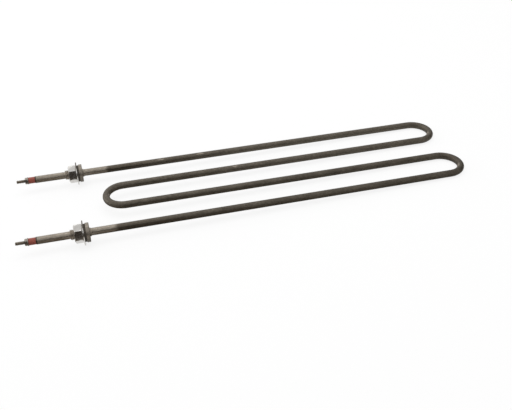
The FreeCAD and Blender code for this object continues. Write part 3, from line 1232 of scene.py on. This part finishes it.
@dataclass
class WireTerminal:
    """Where a wire is fastened: stud, silicone seal, washer and small nut."""

    sides: int = 64
    stud: Span = Span.of("cold_pin_rear")
    seal: Span = Span.of("end_seal_rear")
    washer: Span = Span.of("stud_washer_rear")
    nut: Span = Span.of("stud_nut_rear")
    tube: Span = Span.of("sheath")
    thread: Thread = Thread(2 * MM, 0.7 * MM, 40)
    cutter_reach: float = 0.04 * MM
    shank: float = 1.5 * MM
    point: float = 0.5 * MM
    seal_gap: float = 0.05 * MM

    # How deep and how wide the seal's mouth is chamfered
    seal_mouth: Point = (0.25 * MM, 0.3 * MM)
    collar_step: float = 0.35 * MM
    collar_rim: float = 0.6 * MM
    collar_edge: float = 0.15 * MM
    washer_bore: float = 2.25 * MM
    washer_edge: float = 0.14 * MM
    nut_flats: float = 7 * MM

    def make_stud(self) -> Piece:
        """Turn the pin and roll the thread on its outer end.

        Returns:
            The pin.
        """
        start, end, radius = self.stud.start, self.stud.end, self.thread.radius
        outline = [(start, 0), (start, radius - self.point), (start + self.point, radius),
                   (self.seal.end, radius), (self.seal.end, self.shank), (end, self.shank), (end, 0)]
        stud = lathe("terminal_stud_pattern", outline, self.sides, False)
        groove = self.thread.groove(start - self.thread.pitch, self.washer.end, self.cutter_reach)
        carve(stud, groove, Cut.AWAY)
        return stud

    def make_seal(self) -> Piece:
        """Mould the seal: a collar with a soft rim, and a plug in the tube.

        Returns:
            The seal.
        """
        bore = self.thread.radius + self.seal_gap
        collar = self.tube.radius - self.collar_step
        plug = self.tube.radius - TUBE_WALL
        start, end, lip = self.seal.start, self.seal.end, self.tube.start
        depth, widening = self.seal_mouth
        rim, edge = self.collar_rim, self.collar_edge
        outline = [
            (start + depth, bore), (end, bore), (end, plug), (lip, plug),
            (lip, collar - edge), (lip - edge, collar),
            *arc((start + rim, collar - rim), rim, 90, 180, 5),
            (start, bore + widening),
        ]
        return lathe("silicone_seal_pattern", outline, self.sides)

    def make_washer(self) -> Piece:
        """Stamp the small washer.

        Returns:
            The washer.
        """
        start, end, bore, radius = self.washer.start, self.washer.end, self.washer_bore, self.washer.radius
        outline = [(start, bore), (end, bore), (end, radius), (start, radius)]
        washer = lathe("terminal_washer_pattern", outline, self.sides)
        round_edges(washer, self.washer_edge, 2)
        return washer

    def build(self) -> None:
        """Make every piece and seat it at both terminals."""
        seat_on_legs(self.make_stud(), STUD, "cold_pin")
        seat_on_legs(self.make_seal(), SILICONE, "end_seal")
        seat_on_legs(self.make_washer(), DULL_ZINC, "stud_washer")
        nut = HexNut(self.nut, self.nut_flats, self.thread, edge=0.08 * MM, play=0.02 * MM, sides=self.sides)
        seat_on_legs(nut.build("terminal_hex_nut_pattern"), DULL_ZINC, "stud_nut")


@dataclass
class Lamp:
    """A soft box over the table."""

    name: str
    place: Place
    size: Point
    watts: float
    mirrored: bool = True
    aim: Place = (0.2, 0.0, 0.0)

    def hang(self) -> None:
        """Add the lamp and point it at the element."""
        bpy.ops.object.select_all(action="DESELECT")
        bpy.ops.object.light_add(type="AREA", location=self.place)
        lamp = bpy.context.active_object
        lamp.name = self.name
        lamp.data.shape = "RECTANGLE"
        lamp.data.size, lamp.data.size_y = self.size
        lamp.data.energy = self.watts
        lamp.visible_glossy = self.mirrored
        heading = Vector(self.aim) - Vector(self.place)
        lamp.rotation_euler = heading.to_track_quat("-Z", "Y").to_euler()


@dataclass
class Card:
    """A dark card standing on the table, which only mirrors and soft light see."""

    name: str
    place: Place
    size: Point
    turn: float
    colour: Colour = (0.05, 0.041, 0.033)
    roughness: float = 0.9

    def stand(self) -> None:
        """Add the card, turned about the vertical from across Y."""
        bpy.ops.object.select_all(action="DESELECT")
        bpy.ops.mesh.primitive_plane_add(size=1.0, location=self.place,
                                         rotation=(HALF_TURN / 2, 0, self.turn))
        bpy.context.active_object.scale = (*self.size, 1.0)
        card = claim(self.name)
        card.visible_camera = False
        card.visible_shadow = False
        bench = NodeBench(bpy.data.materials.new(self.name))
        paint = bench.surface({"Base Color": (*self.colour, 1.0), "Roughness": self.roughness})
        card.data.materials.append(paint)


@dataclass
class Studio:
    """White table, white surroundings, soft boxes, and dark cards in front and to the right."""

    floor_size: float = 14.0
    floor_glow: float = 0.85
    floor_colour: Colour = (0.62, 0.62, 0.62)

    # What mirrors see of the table, painted shade in place of the element's shadow: dark, apart from a strip
    # across X under the nuts, and lighter from the near left corner to the far right one
    floor_dim: Colour = (0.34, 0.3, 0.255)
    bright_strip: float = -4 * MM
    strip_half: float = 8 * MM
    strip_fade: float = 7 * MM
    dim_end: float = -20 * MM
    dim_fade: float = 280 * MM
    dim_lean: float = 0.4
    dim_loss: float = 0.7
    daylight: float = 0.6
    cards: tuple[Card, ...] = (
        Card("front_card", (-0.59, -1.6, 0.5), (2.22, 1.1), 0.0),
        Card("right_card", (2.1, 0.5, 0.45), (2.6, 1.0), HALF_TURN / 2),
    )
    lamps: tuple[Lamp, ...] = (
        Lamp("rear_soft_box", (-0.5, 1.6, 0.95), (1.8, 1.1), 3.9),
        Lamp("left_soft_box", (-1.9, 0.9, 0.6), (1.6, 1.0), 9.0),
        Lamp("crest_strip", (0.0, 0.55, 1.9), (2.6, 0.6), 5.0),
        Lamp("top_soft_box", (0.2, 0.2, 1.9), (2.4, 1.8), 14.0, mirrored=False),
    )

    def lay_floor(self) -> None:
        """Lay the table against the wide washers' rims and the underside of the far loops."""
        washer = Span.of("wall_washer_rear")
        tube = Span.of("sheath")
        heel = Vector((washer.start + washer.length / 2, 0, -washer.radius))
        toe = Vector((tube.end - tube.radius, 0, -tube.radius))
        slope = math.atan2(toe.z - heel.z, toe.x - heel.x)
        bpy.ops.object.select_all(action="DESELECT")
        bpy.ops.mesh.primitive_plane_add(size=self.floor_size, location=(heel + toe) / 2,
                                         rotation=(0, -slope, 0))
        floor = claim("white_table")
        bench = NodeBench(bpy.data.materials.new("white_table"))
        x, y, _ = bench.parts(bench.place())
        strip = abs(x - self.bright_strip).ease(self.strip_half, self.strip_half + self.strip_fade)
        back = (x * self.dim_lean + y).ease(self.dim_end, self.dim_end + self.dim_fade)
        dim = strip * (1 - back * self.dim_loss)
        seen = self.seen_rays(bench, 1 - dim)
        mirror = bench.add("ShaderNodeLightPath", {}, {}, "Is Glossy Ray")
        paint = bench.mixed(self.floor_colour, (1.0, 1.0, 1.0), seen)
        paint = bench.mixed(paint, self.floor_dim, mirror * dim)
        diffuse = bench.add("ShaderNodeBsdfDiffuse", {}, {"Color": paint}, "BSDF")
        glow = bench.add("ShaderNodeEmission", {}, {"Color": (1.0, 1.0, 1.0, 1.0), "Strength": 1.0})
        both = bench.add("ShaderNodeMixShader", {}, {0: seen * self.floor_glow, 1: diffuse, 2: glow})
        bench.add_output("ShaderNodeOutputMaterial", both)
        floor.data.materials.append(bench.holder)

    @staticmethod
    def seen_rays(bench: NodeBench, mirrored: Number) -> Wire:
        """Tell the rays that show the surroundings from those that light the element.

        Args:
            bench: the tree that needs to know.
            mirrored: how much of it mirrors see.

        Returns:
            1 for rays seen directly or through glass, and the given share for mirrored ones.
        """
        path = bench.add("ShaderNodeLightPath", {}, {}, "Is Camera Ray")
        outputs = path.socket.node.outputs
        clear = Wire(bench, outputs["Is Transmission Ray"])
        mirror = Wire(bench, outputs["Is Glossy Ray"])
        return (path + clear + mirror * mirrored).clamped()

    def fill_surroundings(self) -> None:
        """Make the surroundings white where they are seen, and dimmer where they only light."""
        world = bpy.data.worlds.new("white_surroundings")
        bpy.context.scene.world = world
        bench = NodeBench(world)
        level = self.seen_rays(bench, 0.5) * (1 - self.daylight) + self.daylight
        light = bench.add("ShaderNodeBackground", {}, {"Color": (1.0, 1.0, 1.0, 1.0), "Strength": level})
        bench.add_output("ShaderNodeOutputWorld", light)

    def build(self) -> None:
        """Set up floor, cards, surroundings and lamps."""
        self.lay_floor()
        for card in self.cards:
            card.stand()
        self.fill_surroundings()
        for lamp in self.lamps:
            lamp.hang()


@dataclass
class Viewpoint:
    """The photograph's viewing angle, found from the legs' outlines."""

    target: Place = (0.19593, -0.06461, 0.0)
    azimuth: float = math.radians(-14.03)
    elevation: float = math.radians(34.39)
    roll: float = math.radians(-1.21)
    distance: float = 0.8321
    focal_pixels: float = 719.0
    width_pixels: int = 512
    sensor: float = 36.0
    clip: Point = (0.01, 60.0)

    def build(self) -> None:
        """Add the camera and make it the scene's own."""
        level = math.cos(self.elevation)
        ahead = Vector((-math.sin(self.azimuth) * level, math.cos(self.azimuth) * level,
                        -math.sin(self.elevation)))
        right = ahead.cross(Vector((0, 0, 1))).normalized()
        upward = right.cross(ahead)
        across = right * math.cos(self.roll) + upward * math.sin(self.roll)
        up = upward * math.cos(self.roll) - right * math.sin(self.roll)
        bpy.ops.object.select_all(action="DESELECT")
        bpy.ops.object.camera_add()
        camera = bpy.context.active_object
        camera.name = "photo_viewpoint"
        axes = Matrix((across, up, -ahead)).transposed().to_4x4()
        camera.matrix_world = Matrix.Translation(Vector(self.target) - ahead * self.distance) @ axes
        camera.data.sensor_fit = "HORIZONTAL"
        camera.data.sensor_width = self.sensor
        camera.data.lens = self.focal_pixels / self.width_pixels * self.sensor
        camera.data.clip_start, camera.data.clip_end = self.clip
        bpy.context.scene.camera = camera


def dress_hidden_nodes() -> None:
    """Finish the frame's own nodes that no new piece stands for."""
    for node, finish in (("magnesia_fill", POWDER), ("resistance_coil", WIRE)):
        finish.coat(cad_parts[node])
        log.info("%s: kept from the frame, %s", node, finish.name)


def main() -> None:
    """Build the element, the studio and the camera."""
    logging.basicConfig(level=logging.INFO, format="%(name)s: %(message)s")
    bpy.context.scene.view_settings.view_transform = "Standard"
    sheath = BentSheath()
    hand_over(sheath.build(), sheath.finish(), "sheath")
    WallFitting().build()
    WireTerminal().build()
    dress_hidden_nodes()
    Studio().build()
    Viewpoint().build()


if __name__ == "__main__":
    main()
